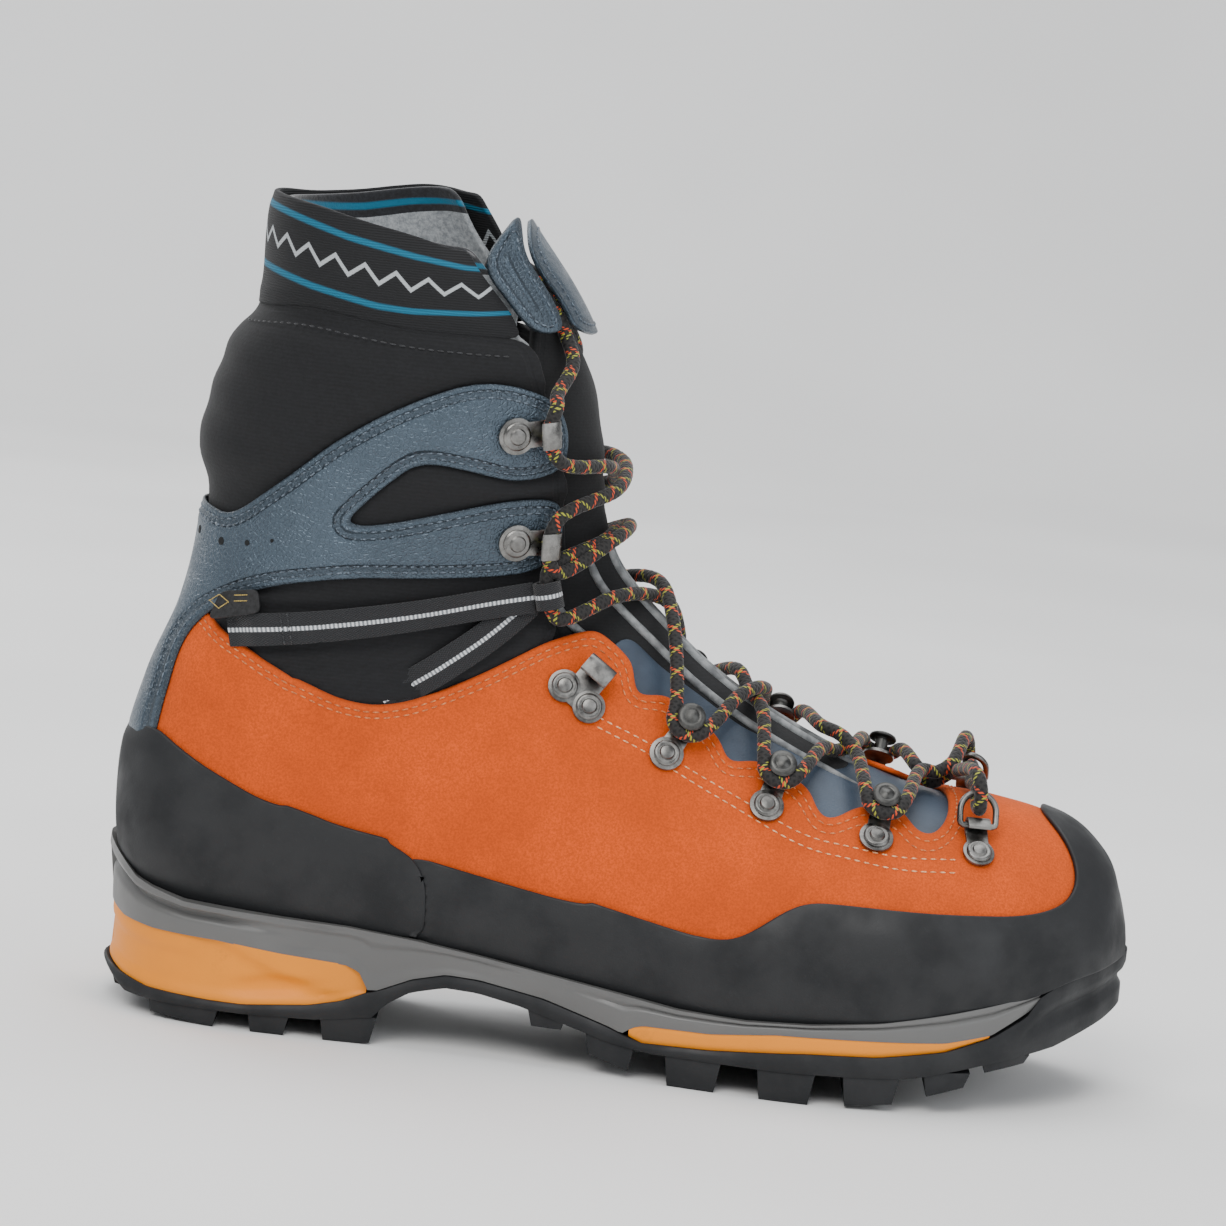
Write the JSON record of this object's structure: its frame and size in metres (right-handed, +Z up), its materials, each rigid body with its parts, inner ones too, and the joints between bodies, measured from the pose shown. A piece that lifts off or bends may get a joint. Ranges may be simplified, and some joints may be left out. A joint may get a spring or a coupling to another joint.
{
  "type": "mountaineering boot",
  "caption": "Laced high mountaineering boot for the right foot: lugged sole, rubber rand, suede upper, ankle wrap, roller eyelets and a knit collar with a peel strap.",
  "frame": {"origin": "on the ground, at the middle of the boot's length and width", "axes": "+X to the toe, -Y to the outer side of the foot, +Z up"},
  "size_m": [0.314, 0.112, 0.258],
  "materials": {
    "rubber": "matte moulded rubber, fine grain",
    "cushion": "matte orange foam rubber",
    "sole_frame": "satin grey moulded plastic",
    "steel": "dark nickel, rubbed bright on edges",
    "board": "pressed fibre board",
    "lining": "brushed knit lining",
    "softshell": "tight stretch weave",
    "suede": "napped suede, darker in the folds",
    "wrap": "coated blue-grey microfibre, slight sheen",
    "underlay": "matte microfibre",
    "webbing": "ribbed webbing with a silver centre thread",
    "lace": "round braid with red and yellow flecks",
    "plastic": "matte moulded plastic"
  },
  "bodies": {
    "boot": {"outsole": "rubber", "rand_front": "rubber", "rand_heel": "rubber", "heel_midsole_insert": "cushion", "forefoot_midsole_insert": "cushion", "midsole_frame": "sole_frame", "steel_shank": "steel", "lasting_board": "board", "toe_puff": "board", "heel_counter": "board", "footbed": "lining", "inner_bootie": "lining", "tongue": "softshell", "shaft_softshell": "softshell", "collar_band": "softshell", "suede_upper": "suede", "ankle_wrap": "wrap", "tongue_tab": "wrap", "eyestay_underlay": "underlay", "upper_hook_outer": "steel", "upper_hook_outer_rivet": "steel", "lower_hook_outer": "steel", "lower_hook_outer_rivet": "steel", "lock_hook_outer": "steel", "lock_hook_outer_rivet_1": "steel", "lock_hook_outer_rivet_2": "steel", "eyelet_1_outer": "steel", "eyelet_2_outer": "steel", "eyelet_3_outer": "steel", "d_ring_plate_outer": "steel", "d_ring_plate_outer_rivet": "steel", "webbing_strap_outer": "webbing", "upper_hook_inner": "steel", "upper_hook_inner_rivet": "steel", "lower_hook_inner": "steel", "lower_hook_inner_rivet": "steel", "lock_hook_inner": "steel", "lock_hook_inner_rivet_1": "steel", "lock_hook_inner_rivet_2": "steel", "eyelet_1_inner": "steel", "eyelet_2_inner": "steel", "eyelet_3_inner": "steel", "d_ring_plate_inner": "steel", "d_ring_plate_inner_rivet": "steel", "webbing_strap_inner": "webbing", "side_tag": "plastic", "lace_tip_a": "plastic", "lace_tip_b": "plastic", "lace": "lace"},
    "d_ring_outer": {"d_ring_outer": "steel"},
    "eyelet_1_outer_roller": {"eyelet_1_outer_roller": "steel"},
    "eyelet_2_outer_roller": {"eyelet_2_outer_roller": "steel"},
    "eyelet_3_outer_roller": {"eyelet_3_outer_roller": "steel"},
    "d_ring_inner": {"d_ring_inner": "steel"},
    "eyelet_1_inner_roller": {"eyelet_1_inner_roller": "steel"},
    "eyelet_2_inner_roller": {"eyelet_2_inner_roller": "steel"},
    "eyelet_3_inner_roller": {"eyelet_3_inner_roller": "steel"},
    "collar_strap": {"collar_strap": "wrap"}
  },
  "joints": [
    {"name": "d_ring_outer_hinge", "type": "hinge", "parent": "boot", "child": "d_ring_outer", "pos_m": [0.10413, -0.02574, 0.08373], "axis": [-0.9814, -0.1896, 0.0305], "range_deg": [-4, 4]},
    {"name": "eyelet_1_outer_spin", "type": "hinge", "parent": "boot", "child": "eyelet_1_outer_roller", "pos_m": [0.0755, -0.02735, 0.0891], "axis": [0.0937, -0.6763, 0.7306], "continuous": true},
    {"name": "eyelet_2_outer_spin", "type": "hinge", "parent": "boot", "child": "eyelet_2_outer_roller", "pos_m": [0.04355, -0.02815, 0.09568], "axis": [0.0811, -0.7908, 0.6067], "continuous": true},
    {"name": "eyelet_3_outer_spin", "type": "hinge", "parent": "boot", "child": "eyelet_3_outer_roller", "pos_m": [0.01486, -0.02634, 0.10697], "axis": [0.1207, -0.8864, 0.447], "continuous": true},
    {"name": "d_ring_inner_hinge", "type": "hinge", "parent": "boot", "child": "d_ring_inner", "pos_m": [0.1037, 0.0259, 0.08908], "axis": [0.9927, -0.119, 0.0205], "range_deg": [-4, 4]},
    {"name": "eyelet_1_inner_spin", "type": "hinge", "parent": "boot", "child": "eyelet_1_inner_roller", "pos_m": [0.07552, 0.02237, 0.09708], "axis": [0.1513, 0.5363, 0.8303], "continuous": true},
    {"name": "eyelet_2_inner_spin", "type": "hinge", "parent": "boot", "child": "eyelet_2_inner_roller", "pos_m": [0.04324, 0.02532, 0.10483], "axis": [0.0367, 0.8067, 0.5898], "continuous": true},
    {"name": "eyelet_3_inner_spin", "type": "hinge", "parent": "boot", "child": "eyelet_3_inner_roller", "pos_m": [0.01489, 0.02344, 0.11587], "axis": [0.094, 0.9229, 0.3734], "continuous": true},
    {"name": "collar_strap_peel", "type": "hinge", "parent": "boot", "child": "collar_strap", "pos_m": [-0.033, -0.0125, 0.226], "axis": [-0.5159, 0.3269, 0.7918], "range_deg": [0, 100]}
  ]
}
